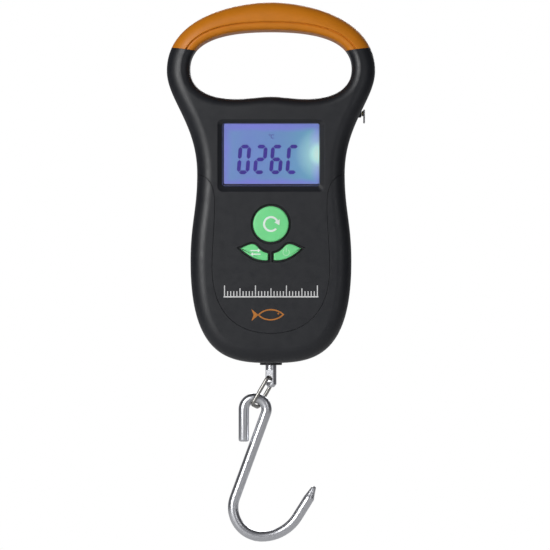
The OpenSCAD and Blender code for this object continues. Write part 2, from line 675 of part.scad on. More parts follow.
// Frame of the link: w runs down it, u across its width near the eye's axis, v across both.
link_w = unit(link_run);
link_u = unit(eye_axis - (eye_axis * link_w) * link_w);
link_v = cross(link_u, link_w);
module link_frame() translate([0, load_mid_y, eye_z])
    multmatrix([[link_u.x, link_w.x, link_v.x, 0], [link_u.y, link_w.y, link_v.y, 0],
        [link_u.z, link_w.z, link_v.z, 0], [0, 0, 0, 1]]) children();

module link() color([0.66, 0.67, 0.68]) link_frame() {
    x = link_half_w - link_corner_r;
    low = link_corner_r;
    high = link_drop - link_corner_r;
    w = link_wire / 2;
    swept_bar(concat(
        bend([x, low], link_corner_r, -90, 0, w, 6),
        bend([x, high], link_corner_r, 0, 90, w, 6),
        bend([-x, high], link_corner_r, 90, 180, w, 6),
        bend([-x, low], link_corner_r, 180, 270, w, 6)), 16, closed = true);
}

// ---- pull-out tape ------------------------------------------------------------------------
module tape_housing() color([0.12, 0.12, 0.13]) difference() {
    rod_y(spool_x, [spool_y - 4.3, spool_y + 4.1], spool_z, 11.7, 64);
    rod_y(spool_x, [spool_y - 3.7, spool_y + 10], spool_z, 11, 64);
    bar([spool_x, spool_x + 20], [spool_y - 3.3, spool_y + 10], [tape_top_z - 1.2, tape_top_z + 5]);
}

module spool_axle() color([0.7, 0.7, 0.72]) rod_y(spool_x, [spool_y - 3.7, spool_y + 3.9], spool_z, 1.5);

module tape_spool() color([0.9, 0.9, 0.9]) difference() {
    union() {
        rod_y(spool_x, [spool_y - 3.5, spool_y - 3], spool_z, 10.6, 64);
        rod_y(spool_x, [spool_y - 3, spool_y + 3], spool_z, 7.3, 48);
    }
    rod_y(spool_x, [spool_y - 2.5, spool_y + 5], spool_z, 6.4, 48);
    rod_y(spool_x, [-20, 20], spool_z, 1.55);
}

module ring_y(r0, r1, half) difference() {
    rod_y(spool_x, [spool_y - half, spool_y + half], spool_z, r1, 64);
    rod_y(spool_x, [-20, 20], spool_z, r0, 64);
}
module tape_coil() color([0.9, 0.8, 0.2]) ring_y(7.35, coil_r, tape_w / 2);
module tape_spring() color([0.5, 0.52, 0.55]) ring_y(2.4, 6.2, 2.3);

module tape_blade() color([0.9, 0.8, 0.2])
    bar([spool_x, tape_end_x], [spool_y - tape_w / 2, spool_y + tape_w / 2],
        [tape_top_z, tape_top_z + tape_t]);

tab_low = -44.3;
tab_t = 0.7;
module tape_tab() color([0.75, 0.76, 0.78])
    bar([tape_end_x, tape_end_x + tab_t], [spool_y - 3.1, spool_y + 3.1], [tab_low, -38.6]);

module tape_guide() color([0.05, 0.05, 0.055]) difference() {
    bar([mouth_x - 3.2, mouth_x + 1.1], [spool_y - mouth_half[1] + 0.1, spool_y + mouth_half[1] - 0.1],
        [tape_top_z - mouth_half[0] + 0.1, tape_top_z + mouth_half[0] - 0.1]);
    bar([0, 60], [spool_y - tape_w / 2 - 0.15, spool_y + tape_w / 2 + 0.15],
        [tape_top_z - 0.2, tape_top_z + tape_t + 0.2]);
}

// Blank rating plate on the back.
module rear_label() color([0.75, 0.75, 0.76]) bar([-14, 14], [back_y, back_y + 0.2], [-128, -104]);

// ---- which node to show -------------------------------------------------------------------
front_shell();
rear_shell();
handle_grip();
lcd_window();
lcd_frame();
lcd_glass();
backlight();
zebra_strip();
pcb();
cob_chip();
pcb_screws();
tact_switches();
reset_button();
unit_button();
power_button();
case_screws();
battery_door();
batteries();
contact_springs();
contact_plates();
battery_wires();
load_cell();
strain_gauges();
gauge_wires();
cell_bracket();
bracket_screws();
cell_bolt();
hook_post();
post_nut();
exit_collar();
link();
s_hook();
tape_housing();
tape_spool();
tape_coil();
tape_spring();
spool_axle();
tape_blade();
tape_tab();
tape_guide();
rear_label();
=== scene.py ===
"""Looks of the digital fish scale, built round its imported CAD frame. Lengths named _mm are millimetres."""
import json
import math

import bmesh
import bpy
import numpy as np
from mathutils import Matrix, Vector


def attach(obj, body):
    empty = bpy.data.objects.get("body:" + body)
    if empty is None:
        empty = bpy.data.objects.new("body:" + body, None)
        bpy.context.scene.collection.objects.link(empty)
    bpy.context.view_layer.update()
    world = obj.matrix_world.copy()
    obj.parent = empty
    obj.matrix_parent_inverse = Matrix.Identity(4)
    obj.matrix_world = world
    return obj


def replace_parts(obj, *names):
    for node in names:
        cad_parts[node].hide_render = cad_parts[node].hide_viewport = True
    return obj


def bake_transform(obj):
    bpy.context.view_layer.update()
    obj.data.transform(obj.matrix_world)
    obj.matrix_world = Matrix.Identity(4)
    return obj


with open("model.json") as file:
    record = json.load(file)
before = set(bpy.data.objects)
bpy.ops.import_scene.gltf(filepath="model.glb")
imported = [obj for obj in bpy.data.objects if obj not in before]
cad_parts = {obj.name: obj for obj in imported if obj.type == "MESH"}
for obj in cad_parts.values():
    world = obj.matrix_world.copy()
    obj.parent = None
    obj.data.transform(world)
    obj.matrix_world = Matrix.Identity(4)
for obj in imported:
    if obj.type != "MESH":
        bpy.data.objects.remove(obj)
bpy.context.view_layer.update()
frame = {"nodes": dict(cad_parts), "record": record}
MM = 0.001

# ---- camera -------------------------------------------------------------------------------
VIEW_CENTRE_MM = (1.7, -14.0, -108.6)
VIEW_WIDTH_MM = 231.0
CAMERA_FAR_MM = 2200.0
SENSOR_MM = 36.0


def add_camera():
    data = bpy.data.cameras.new("front_camera")
    data.sensor_width = SENSOR_MM
    data.lens = SENSOR_MM * CAMERA_FAR_MM / VIEW_WIDTH_MM
    data.clip_start = 0.01
    data.clip_end = 60
    camera = bpy.data.objects.new("front_camera", data)
    bpy.context.scene.collection.objects.link(camera)
    x, y, z = VIEW_CENTRE_MM
    camera.location = Vector((x, y - CAMERA_FAR_MM, z)) * MM
    camera.rotation_euler = (math.radians(90), 0, 0)
    bpy.context.scene.camera = camera


add_camera()
bpy.context.scene.view_settings.view_transform = "Standard"

# ---- case curves, as in the CAD source ----------------------------------------------------
TOP_Z, DROP = 6.3, 145.7
HANDLE_HALF_W, WAIST_HALF_W, BULGE_HALF_W = 43.9, 31.1, 33.9
WIDEST_Z, WAIST_Z, BULGE_Z = -22.5, -66.0, -103.0
CASE_T, HANDLE_T = 28.0, 23.6
THIN_FROM, THIN_TO = -42.0, -12.0
EDGE_R, OPEN_EDGE_R = 6.5, 4.0
OPEN_HALF_W, OPEN_TOP, OPEN_LOW, OPEN_WIDE_Z, OPEN_LOW_X, OPEN_BUMP = 34.2, 5.7, 34.5, -21.3, 14.5, 1.0
WALL, HANDLE_WALL, GRIP_SKIN = 2.2, 3.4, 1.6
SEAM_Z, TONGUE_LOW_Z = -66.3, -133.1
SEAM_GAP, SEAM_DEPTH = 0.14, 0.8
FRONT_Y, BACK_Y = -CASE_T / 2, CASE_T / 2


def bezier(points, n):
    """n points of a cubic curve, without its last one."""
    a, b, c, d = (np.array(p, float) for p in points)
    t = np.linspace(0, 1, n, endpoint=False)[:, None]
    return (1 - t) ** 3 * a + 3 * (1 - t) ** 2 * t * b + 3 * (1 - t) * t * t * c + t ** 3 * d


def chain(curves, n, last):
    return np.vstack([bezier(c, n) for c in curves] + [np.array([last], float)])


def outline(n=40):
    """Right half of the case's outline, from the top of the handle to the lowest point."""
    return chain([
        ((0, TOP_Z), (14.1, TOP_Z), (HANDLE_HALF_W, WIDEST_Z + 23), (HANDLE_HALF_W, WIDEST_Z)),
        ((HANDLE_HALF_W, WIDEST_Z), (HANDLE_HALF_W, WIDEST_Z - 12.2),
         (WAIST_HALF_W, WAIST_Z + 21.2), (WAIST_HALF_W, WAIST_Z)),
        ((WAIST_HALF_W, WAIST_Z), (WAIST_HALF_W, WAIST_Z - 15.3),
         (BULGE_HALF_W, BULGE_Z + 16.5), (BULGE_HALF_W, BULGE_Z)),
        ((BULGE_HALF_W, BULGE_Z), (BULGE_HALF_W, BULGE_Z - 41.6), (16.5, -DROP), (0, -DROP)),
    ], n, (0, -DROP))


def opening_line(n=36):
    """Right half of the finger opening, from its top to its raised middle."""
    return chain([
        ((0, -OPEN_TOP), (13.7, -OPEN_TOP), (OPEN_HALF_W, OPEN_WIDE_Z + 14.1), (OPEN_HALF_W, OPEN_WIDE_Z)),
        ((OPEN_HALF_W, OPEN_WIDE_Z), (OPEN_HALF_W, OPEN_WIDE_Z - 5),
         (OPEN_LOW_X + 17, -OPEN_LOW), (OPEN_LOW_X, -OPEN_LOW)),
        ((OPEN_LOW_X, -OPEN_LOW), (OPEN_LOW_X - 5, -OPEN_LOW), (4, OPEN_BUMP - OPEN_LOW),
         (0, OPEN_BUMP - OPEN_LOW)),
    ], n, (0, OPEN_BUMP - OPEN_LOW))


def tongue_line(n=24):
    """Right half of the front cover's lower seam, from the side wall down round the tongue."""
    return chain([
        ((50, SEAM_Z), (44, SEAM_Z), (38, SEAM_Z), (31.5, SEAM_Z)),
        ((31.5, SEAM_Z), (26.5, SEAM_Z), (23.6, -71), (23.6, -78)),
        ((23.6, -78), (23.6, -88), (24.7, -96), (24.7, -106)),
        ((24.7, -106), (24.7, -121.5), (17, TONGUE_LOW_Z), (0, TONGUE_LOW_Z)),
    ], n, (0, TONGUE_LOW_Z))


def shifted(line, d):
    """A half line moved sideways by d: inwards for one that runs down the right side."""
    mirrored = np.array([-1, 1])
    before = np.vstack([line[1] * mirrored, line[:-1]])
    after = np.vstack([line[1:], line[-2] * mirrored])
    way = after - before
    way /= np.linalg.norm(way, axis=1)[:, None]
    return line + d * np.stack([way[:, 1], -way[:, 0]], axis=1)


def half_depth(z):
    s = np.clip((z - THIN_FROM) / (THIN_TO - THIN_FROM), 0, 1)
    return CASE_T / 2 - (CASE_T - HANDLE_T) / 2 * s * s * (3 - 2 * s)


def edge_rings(r, d, way=1, steps=12):
    """Rings [sideways shift, share of half depth, depth taken off] of an edge rounded by r."""
    h = CASE_T / 2 - d
    arc = [(r * (1 - math.sin(a)), (h - r + r * math.cos(a)) / h)
           for a in np.linspace(0, math.pi / 2, steps + 1)]
    return [(way * (d + s), -y, d) for s, y in arc] + [(way * (d + s), y, d) for s, y in reversed(arc)]


def mesh_object(name, verts_mm, faces):
    mesh = bpy.data.meshes.new(name)
    mesh.from_pydata([tuple(c * MM for c in v) for v in verts_mm], [], faces)
    bm = bmesh.new()
    bm.from_mesh(mesh)
    bmesh.ops.recalc_face_normals(bm, faces=bm.faces)
    bm.to_mesh(mesh)
    bm.free()
    obj = bpy.data.objects.new(name, mesh)
    bpy.context.scene.collection.objects.link(obj)
    return obj


def ring_solid(name, line, rings):
    """Closed solid swept from front to back through rings of a mirrored half line."""
    m = len(line)
    n = 2 * (m - 1)
    verts = []
    for shift, share, off in rings:
        right = shifted(line, shift)
        loop = np.vstack([right, right[-2:0:-1] * np.array([-1, 1])])
        y = share * (half_depth(loop[:, 1]) - off)
        verts += [(p[0], yy, p[1]) for p, yy in zip(loop, y)]
    faces = [(j * n + i, (j + 1) * n + i, (j + 1) * n + (i + 1) % n, j * n + (i + 1) % n)
             for j in range(len(rings) - 1) for i in range(n)]
    for base in (0, (len(rings) - 1) * n):
        faces.append((base, base + 1, base + n - 1))
        faces += [(base + i, base + i + 1, base + n - i - 1, base + n - i) for i in range(1, m - 2)]
        faces.append((base + m - 2, base + m - 1, base + m))
    return mesh_object(name, verts, faces)


def case_solid(d, name="case"):
    return ring_solid(name, outline(), edge_rings(EDGE_R - d * 0.6, d))


def opening_solid(d, name="opening", rings=None):
    core = rings or edge_rings(OPEN_EDGE_R, 0, -1)
    grown = [(s - d, y, d) for s, y, _ in core]
    return ring_solid(name, opening_line(), [(grown[0][0], -1.3, d)] + grown + [(grown[0][0], 1.3, d)])


def prism(name, points, y0, y1):
    """Prism along Y of a closed outline of (x, z) points."""
    n = len(points)
    verts = [(x, y, z) for y in (y0, y1) for x, z in points]
    faces = [tuple(range(n)), tuple(range(2 * n - 1, n - 1, -1))]
    faces += [(i, (i + 1) % n, n + (i + 1) % n, n + i) for i in range(n)]
    return mesh_object(name, verts, faces)


def block(name, x, y, z):
    return prism(name, [(x[0], z[0]), (x[1], z[0]), (x[1], z[1]), (x[0], z[1])], y[0], y[1])


def circle_points(cx, cz, r, n=72):
    turns = [2 * math.pi * i / n for i in range(n)]
    return [(cx + r * math.cos(a), cz + r * math.sin(a)) for a in turns]


def combine(target, others, operation="DIFFERENCE"):
    """Boolean of target with each of others, which are used up."""
    for other in others:
        mod = target.modifiers.new("cut", "BOOLEAN")
        mod.operation = operation
        mod.object = other
        mod.solver = "MANIFOLD"
        bpy.context.view_layer.update()
        evaluated = target.evaluated_get(bpy.context.evaluated_depsgraph_get())
        mesh = bpy.data.meshes.new_from_object(evaluated)
        target.modifiers.clear()
        old = target.data
        target.data = mesh
        bpy.data.meshes.remove(old)
        bpy.data.objects.remove(other)
    return target


def smooth(obj, angle=32, weighted=True):
    """Smooth shading that keeps edges sharper than the angle, in degrees."""
    obj.data.shade_smooth()
    obj.data.set_sharp_from_angle(angle=math.radians(angle))
    if weighted:
        mod = obj.modifiers.new("flat_faces", "WEIGHTED_NORMAL")
        mod.keep_sharp = True
        mod.mode = "FACE_AREA_WITH_ANGLE"
        mod.weight = 80
    return obj


# ---- materials ----------------------------------------------------------------------------
class Nodes:
    """Short hand for a material's node tree, in object coordinates scaled to millimetres."""

    def __init__(self, name):
        self.material = bpy.data.materials.new(name)
        self.material.use_nodes = True
        self.tree = self.material.node_tree
        self.shader = self.tree.nodes["Principled BSDF"]
        coord = self.add("ShaderNodeTexCoord")
        scale = self.add("ShaderNodeVectorMath", operation="SCALE")
        scale.inputs["Scale"].default_value = 1 / MM
        self.link(coord.outputs["Object"], scale.inputs[0])
        self.mm = scale.outputs[0]

    def add(self, kind, **settings):
        node = self.tree.nodes.new(kind)
        for key, value in settings.items():
            setattr(node, key, value)
        return node

    def link(self, a, b):
        self.tree.links.new(a, b)

    def noise(self, cycle_mm, detail=3.0, rough=0.55, stretch=None):
        source = self.mm
        if stretch:
            warp = self.add("ShaderNodeVectorMath", operation="MULTIPLY")
            warp.inputs[1].default_value = stretch
            self.link(source, warp.inputs[0])
            source = warp.outputs[0]
        noise = self.add("ShaderNodeTexNoise")
        noise.inputs["Scale"].default_value = 1 / cycle_mm
        noise.inputs["Detail"].default_value = detail
        noise.inputs["Roughness"].default_value = rough
        self.link(source, noise.inputs["Vector"])
        return noise.outputs["Fac"]

    def ramp(self, fac, stops):
        """Colour ramp of (place, value or colour) stops."""
        node = self.add("ShaderNodeValToRGB")
        elements = node.color_ramp.elements
        while len(elements) < len(stops):
            elements.new(0.5)
        for element, (place, value) in zip(elements, stops):
            element.position = place
            element.color = (*((value,) * 3 if isinstance(value, (int, float)) else value), 1)
        self.link(fac, node.inputs["Fac"])
        return node.outputs["Color"]

    def math(self, operation, a, b):
        node = self.add("ShaderNodeMath", operation=operation)
        for socket, value in zip(node.inputs, (a, b)):
            if isinstance(value, (int, float)):
                socket.default_value = value
            else:
                self.link(value, socket)
        return node.outputs[0]

    def bump(self, height, depth_mm, strength=1.0, round_mm=0.0):
        """Bump of the height field, over edges softened by round_mm."""
        bump = self.add("ShaderNodeBump")
        bump.inputs["Strength"].default_value = strength
        bump.inputs["Distance"].default_value = depth_mm * MM
        self.link(height, bump.inputs["Height"])
        if round_mm:
            bevel = self.add("ShaderNodeBevel", samples=4)
            bevel.inputs["Radius"].default_value = round_mm * MM
            self.link(bevel.outputs[0], bump.inputs["Normal"])
        self.link(bump.outputs[0], self.shader.inputs["Normal"])

    def set(self, **values):
        for key, value in values.items():
            socket = self.shader.inputs[key.replace("_", " ")]
            socket.default_value = (*value, 1) if isinstance(value, tuple) else value


def moulded(name, colour, rough=0.5, grain_mm=0.35, grain_depth=0.02, variation=0.12, round_mm=0.0, **more):
    """Moulded plastic or rubber: fine grain, slight cloudiness of colour and of gloss."""
    n = Nodes(name)
    cloud = n.noise(9.0, 4.0)
    low = tuple(c * (1 - variation) for c in colour)
    high = tuple(c * (1 + variation) for c in colour)
    n.link(n.ramp(cloud, [(0.3, low), (0.7, high)]), n.shader.inputs["Base Color"])
    gloss = n.noise(2.5, 5.0)
    n.link(n.ramp(gloss, [(0.3, rough - 0.05), (0.7, rough + 0.06)]), n.shader.inputs["Roughness"])
    n.bump(n.noise(grain_mm, 2.0, 0.6), grain_depth, 0.55, round_mm)
    n.set(**more)
    return n.material


def metal(name, colour, rough=0.22, brush=(1, 1, 14), brush_mm=2.2, dents=0.02, round_mm=0.0, **more):
    """Bare metal with drawing marks across the brush direction and faint handling dents."""
    n = Nodes(name)
    marks = n.noise(brush_mm, 6.0, 0.7, brush)
    low = tuple(c * 0.8 for c in colour)
    n.link(n.ramp(marks, [(0.25, low), (0.75, colour)]), n.shader.inputs["Base Color"])
    n.link(n.ramp(marks, [(0.2, rough + 0.1), (0.8, rough - 0.05)]), n.shader.inputs["Roughness"])
    n.bump(n.math("ADD", n.noise(2.6, 2.0), n.math("MULTIPLY", marks, 0.12)), dents, 0.5, round_mm)
    n.set(Metallic=1.0, **more)
    return n.material


def display_face(name, centre_mm, half_mm):
    """Lit display: blue-violet, more violet at its rim, with a pale green glow at the right edge."""
    n = Nodes(name)
    split = n.add("ShaderNodeSeparateXYZ")
    n.link(n.mm, split.inputs[0])
    across = n.math("DIVIDE", n.math("SUBTRACT", split.outputs[0], centre_mm[0]), half_mm[0])
    up = n.math("DIVIDE", n.math("SUBTRACT", split.outputs[2], centre_mm[1]), half_mm[1])
    sideways = n.math("MULTIPLY", n.math("ABSOLUTE", across, 0), 0.93)
    rim = n.math("MAXIMUM", n.math("ABSOLUTE", up, 0), sideways)
    slope = n.math("MULTIPLY", n.math("ADD", across, 1.0), 0.5)
    base = n.ramp(slope, [(0.0, (0.14, 0.27, 0.50)), (0.25, (0.14, 0.22, 0.50)), (0.65, (0.125, 0.25, 0.47)),
                          (1.0, (0.12, 0.36, 0.47))])
    violet = n.add("ShaderNodeMix", data_type="RGBA")
    violet.inputs["B"].default_value = (0.19, 0.17, 0.60, 1)
    haze = n.math("MULTIPLY", n.noise(11.0, 2.0), 0.25)
    n.link(n.ramp(n.math("ADD", rim, haze), [(0.86, 0.0), (1.12, 0.7)]), violet.inputs["Factor"])
    n.link(base, violet.inputs["A"])
    dx = n.math("MULTIPLY", n.math("SUBTRACT", across, 1.02), 1.9)
    dz = n.math("MULTIPLY", n.math("SUBTRACT", up, 0.02), 1.15)
    far = n.math("SQRT", n.math("ADD", n.math("MULTIPLY", dx, dx), n.math("MULTIPLY", dz, dz)), 0)
    glow = n.add("ShaderNodeMix", data_type="RGBA")
    glow.inputs["B"].default_value = (0.62, 0.95, 0.78, 1)
    n.link(n.ramp(far, [(0.0, 1.0), (0.22, 0.78), (0.5, 0.3), (1.0, 0.0)]), glow.inputs["Factor"])
    n.link(violet.outputs["Result"], glow.inputs["A"])
    n.link(glow.outputs["Result"], n.shader.inputs["Base Color"])
    n.link(glow.outputs["Result"], n.shader.inputs["Emission Color"])
    n.set(Emission_Strength=0.55, Roughness=0.4)
    return n.material


def clear_plastic(name):
    n = Nodes(name)
    n.link(n.ramp(n.noise(3.0, 4.0), [(0.4, 0.03), (0.8, 0.09)]), n.shader.inputs["Roughness"])
    n.set(Base_Color=(0.97, 0.98, 1.0), IOR=1.45, Transmission_Weight=1.0)
    return n.material


def tape_face(name):
    """Yellow tape with a tick at each millimetre and a longer one at each fifth."""
    n = Nodes(name)
    split = n.add("ShaderNodeSeparateXYZ")
    n.link(n.mm, split.inputs[0])
    edge = n.math("ABSOLUTE", n.math("SUBTRACT", split.outputs[1], 5.5), 0)
    fine = n.math("LESS_THAN", n.math("FRACT", split.outputs[0], 0), 0.22)
    fifth = n.math("LESS_THAN", n.math("FRACT", n.math("DIVIDE", split.outputs[0], 5.0), 0), 0.05)
    short = n.math("MULTIPLY", fine, n.math("GREATER_THAN", edge, 1.9))
    long = n.math("MULTIPLY", fifth, n.math("GREATER_THAN", edge, 0.9))
    colour = n.add("ShaderNodeMix", data_type="RGBA")
    n.link(n.math("MAXIMUM", short, long), colour.inputs["Factor"])
    n.link(n.ramp(n.noise(6.0), [(0.3, (0.72, 0.52, 0.03)), (0.7, (0.82, 0.62, 0.05))]), colour.inputs["A"])
    colour.inputs["B"].default_value = (0.02, 0.02, 0.02, 1)
    n.link(colour.outputs["Result"], n.shader.inputs["Base Color"])
    n.bump(n.noise(0.4), 0.004)
    n.set(Roughness=0.3)
    return n.material


CHARCOAL = (0.0075, 0.0086, 0.0115)
MATERIALS = {
    "charcoal_plastic": moulded("charcoal_plastic", CHARCOAL, 0.43, 0.3, 0.016, 0.06, 0.25,
                                Specular_IOR_Level=0.5),
    "orange_grip": moulded("orange_grip", (0.60, 0.19, 0.004), 0.44, 0.22, 0.012, 0.05, 0.12,
                           Specular_IOR_Level=0.35),
    "clear_lens": clear_plastic("clear_lens"),
    "light_guide": moulded("light_guide", (0.8, 0.84, 0.92), 0.3),
    "white_plastic": moulded("white_plastic", (0.75, 0.75, 0.73), 0.4),
    "connector_rubber": moulded("connector_rubber", (0.6, 0.18, 0.24), 0.6),
    "board_green": moulded("board_green", (0.015, 0.14, 0.05), 0.3, 0.6, 0.01, 0.3),
    "black_epoxy": moulded("black_epoxy", (0.012, 0.012, 0.013), 0.18, 1.5, 0.03),
    "black_plastic": moulded("black_plastic", (0.012, 0.012, 0.014), 0.45, 0.3, 0.02, 0.1, 0.12),
    "green_keys": moulded("green_keys", (0.19, 0.76, 0.29), 0.38, 0.25, 0.006, 0.04, 0.1,
                          Subsurface_Weight=0.1, Subsurface_Scale=0.002),
    "zinc_screws": metal("zinc_screws", (0.62, 0.62, 0.6), 0.3, (1, 1, 1), 0.6),
    "cell_jacket": moulded("cell_jacket", (0.5, 0.33, 0.05), 0.25, 4.0, 0.01),
    "nickel_contacts": metal("nickel_contacts", (0.7, 0.68, 0.62), 0.25, (1, 1, 4), 0.8),
    "wire_insulation": moulded("wire_insulation", (0.4, 0.03, 0.025), 0.35),
    "load_aluminium": metal("load_aluminium", (0.76, 0.77, 0.78), 0.35, (12, 1, 1), 1.2),
    "gauge_film": moulded("gauge_film", (0.6, 0.33, 0.08), 0.3),
    "pressed_steel": metal("pressed_steel", (0.6, 0.6, 0.6), 0.3, (1, 8, 1), 0.9, 0.01, 0.08),
    "hook_steel": metal("hook_steel", (0.74, 0.75, 0.78), 0.27, (9, 9, 1), 1.6, 0.008),
    "tape_enamel": moulded("tape_enamel", (0.8, 0.6, 0.04), 0.3, 1.0, 0.004),
    "spring_steel": metal("spring_steel", (0.25, 0.26, 0.3), 0.3, (1, 10, 1), 0.7),
    "label_foil": metal("label_foil", (0.42, 0.42, 0.44), 0.4, (1, 1, 16), 1.0, 0.002),
    "key_print": moulded("key_print", (0.82, 0.9, 0.84), 0.5),
    "key_print_faint": moulded("key_print_faint", (0.45, 0.86, 0.52), 0.5),
    "white_print": moulded("white_print", (0.7, 0.7, 0.7), 0.5),
    "orange_print": moulded("orange_print", (0.50, 0.17, 0.015), 0.5),
    "digit_ink": moulded("digit_ink", (0.04, 0.015, 0.30), 0.5, 0.3, 0.002, 0.15,
                         Emission_Color=(0.045, 0.018, 0.36), Emission_Strength=0.3),
    "link_steel": metal("link_steel", (0.36, 0.35, 0.33), 0.3, (9, 9, 1), 1.2, 0.01),
    "tape_print": tape_face("tape_print"),
}
LCD_HALF_W, LCD_H, LCD_TOP_Z = 20.4, 26.2, -44.9
LCD_MID_Z = LCD_TOP_Z - LCD_H / 2
MATERIALS["display_glass"] = display_face("display_glass", (0, LCD_MID_Z), (LCD_HALF_W, LCD_H / 2))


def dress(obj, look, body=None):
    """Gives obj the look's material and, if a body is given, attaches it to that body."""
    obj.data.materials.clear()
    obj.data.materials.append(MATERIALS[look])
    if body:
        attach(obj, body)
    return obj


for part in frame["record"]["subparts"]:
    dress(frame["nodes"][part["node"]], part["material_slot"])

# ---- shells and grip ----------------------------------------------------------------------
GRIP_LOW_Z = -13.4
HANDLE_SPLIT_Z = -36.5
CASE_SCREWS = [(-28.4, -52.0), (28.4, -52.0), (-17.6, -120.0), (17.6, -120.0)]
BOARD_SCREWS = [(-20.5, -86.0), (20.5, -86.0), (-20.0, -103.5), (20.0, -103.5)]
INNER_FRONT, INNER_BACK = FRONT_Y + WALL, BACK_Y - WALL
RESET_Z, RESET_R, KEY_GAP = -87.2, 7.5, 0.65
BAY_HALF_W, BAY_TOP, BAY_LOW, BAY_WALL, BAY_FLOOR_Y = 26.6, -65.4, -88.1, 1.3, 0.2
DOOR_HALF_W, DOOR_T, DOOR_GAP = 24.4, 2.0, 0.25
DOOR_TOP, DOOR_LOW = BAY_TOP + 0.8, BAY_LOW - 0.6
TAPE_TOP_Z, TAPE_Y = -40.45, 5.5
BEZEL_W, BEZEL_DEPTH = 2.1, 1.4
WINDOW_Y = FRONT_Y + BEZEL_DEPTH


def grip_zone():
    return prism("grip_zone", [(-60, GRIP_LOW_Z + 3), (-30, GRIP_LOW_Z - 1), (30, GRIP_LOW_Z - 1),
                               (60, GRIP_LOW_Z + 3), (60, 20), (-60, 20)], -30, 30)


def loop_solid(d, name="loop"):
    return combine(case_solid(d, name), [opening_solid(d)])


def cavity():
    body = combine(case_solid(WALL, "cavity"), [opening_solid(WALL),
                                                block("above", (-60, 60), (-30, 30), (HANDLE_SPLIT_Z, 20))])
    handle = combine(case_solid(HANDLE_WALL, "handle_cavity"),
                     [opening_solid(HANDLE_WALL),
                      block("below", (-60, 60), (-30, 30), (-160, HANDLE_SPLIT_Z - 0.02))])
    return combine(body, [handle], "UNION")


def hollow_case(name):
    case = combine(loop_solid(0, name), [grip_zone()])
    combine(case, [loop_solid(GRIP_SKIN)], "UNION")
    return combine(case, [cavity()])


def front_zone(gap):
    """Region of the front cover: the front half of the handle, and the tongue down the middle."""
    half = shifted(tongue_line(), gap)
    half[:, 0] = np.maximum(half[:, 0], 0)
    half[0] = (50, SEAM_Z + gap)
    left = [(-x, z) for x, z in half[-2::-1]]
    return prism("front_zone", [(-50, 20), (50, 20)] + [tuple(p) for p in half] + left, -30, -gap)


def seam_cutter():
    """All that lies before the seam; under its groove the back cover keeps a lip that closes the gap."""
    groove = combine(front_zone(-SEAM_GAP / 2), [loop_solid(SEAM_DEPTH)])
    return combine(groove, [front_zone(SEAM_GAP / 2)], "UNION")


def leaf_outline(n=9):
    """Outline of the leaf-shaped key left of the middle."""
    tip, crown, inner_top, inner_low = (-12.8, -97.4), (-7.8, -95.6), (-1.2, -99.5), (-1.2, -102.4)
    return np.vstack([bezier((tip, (-11, -96.9), (-9.6, -95.6), crown), n),
                      bezier((crown, (-5.4, -95.6), (-5.4, -98.6), inner_top), n),
                      np.array([inner_top]),
                      bezier((inner_low, (-5.6, -102.8), (-9.2, -100.9), tip), n + 3)])


def inset(points, d):
    """Closed clockwise outline moved inwards by d, with mitred corners."""
    ahead = np.roll(points, -1, axis=0) - points
    ahead /= np.linalg.norm(ahead, axis=1)[:, None]
    behind = np.roll(ahead, 1, axis=0)
    n_ahead = np.stack([ahead[:, 1], -ahead[:, 0]], axis=1)
    n_behind = np.stack([behind[:, 1], -behind[:, 0]], axis=1)
    mid = n_ahead + n_behind
    mid /= np.maximum(np.sum(mid * n_ahead, axis=1), 0.55)[:, None]
    return points + d * mid


def rounded_box(half_w, half_h, mid_z, r, n=8):
    """Outline of a rounded rectangle, clockwise from its upper left corner."""
    points = []
    for cx, cz, start in ((-1, 1, 180), (1, 1, 90), (1, -1, 0), (-1, -1, -90)):
        for a in np.radians(np.linspace(start, start - 90, n)):
            points.append((cx * (half_w - r) + r * math.cos(a), mid_z + cz * (half_h - r) + r * math.sin(a)))
    return np.array(points)


def skin(name, loops, closed=False):
    """Solid through equal loops of 3-D points in millimetres."""
    n = len(loops[0])
    verts = [tuple(p) for loop in loops for p in loop]
    rows = len(loops)
    last = rows if closed else rows - 1
    faces = [(j * n + i, j * n + (i + 1) % n, ((j + 1) % rows) * n + (i + 1) % n, ((j + 1) % rows) * n + i)
             for j in range(last) for i in range(n)]
    if not closed:
        faces.append(tuple(range(n)))
        faces.append(tuple(range((rows - 1) * n, rows * n)))
    return mesh_object(name, verts, faces)


def at_depth(outline_2d, y):
    return [(x, y, z) for x, z in outline_2d]


def rod(name, x, y, z, r, n=40):
    return prism(name, circle_points(x, z, r, n), y[0], y[1])


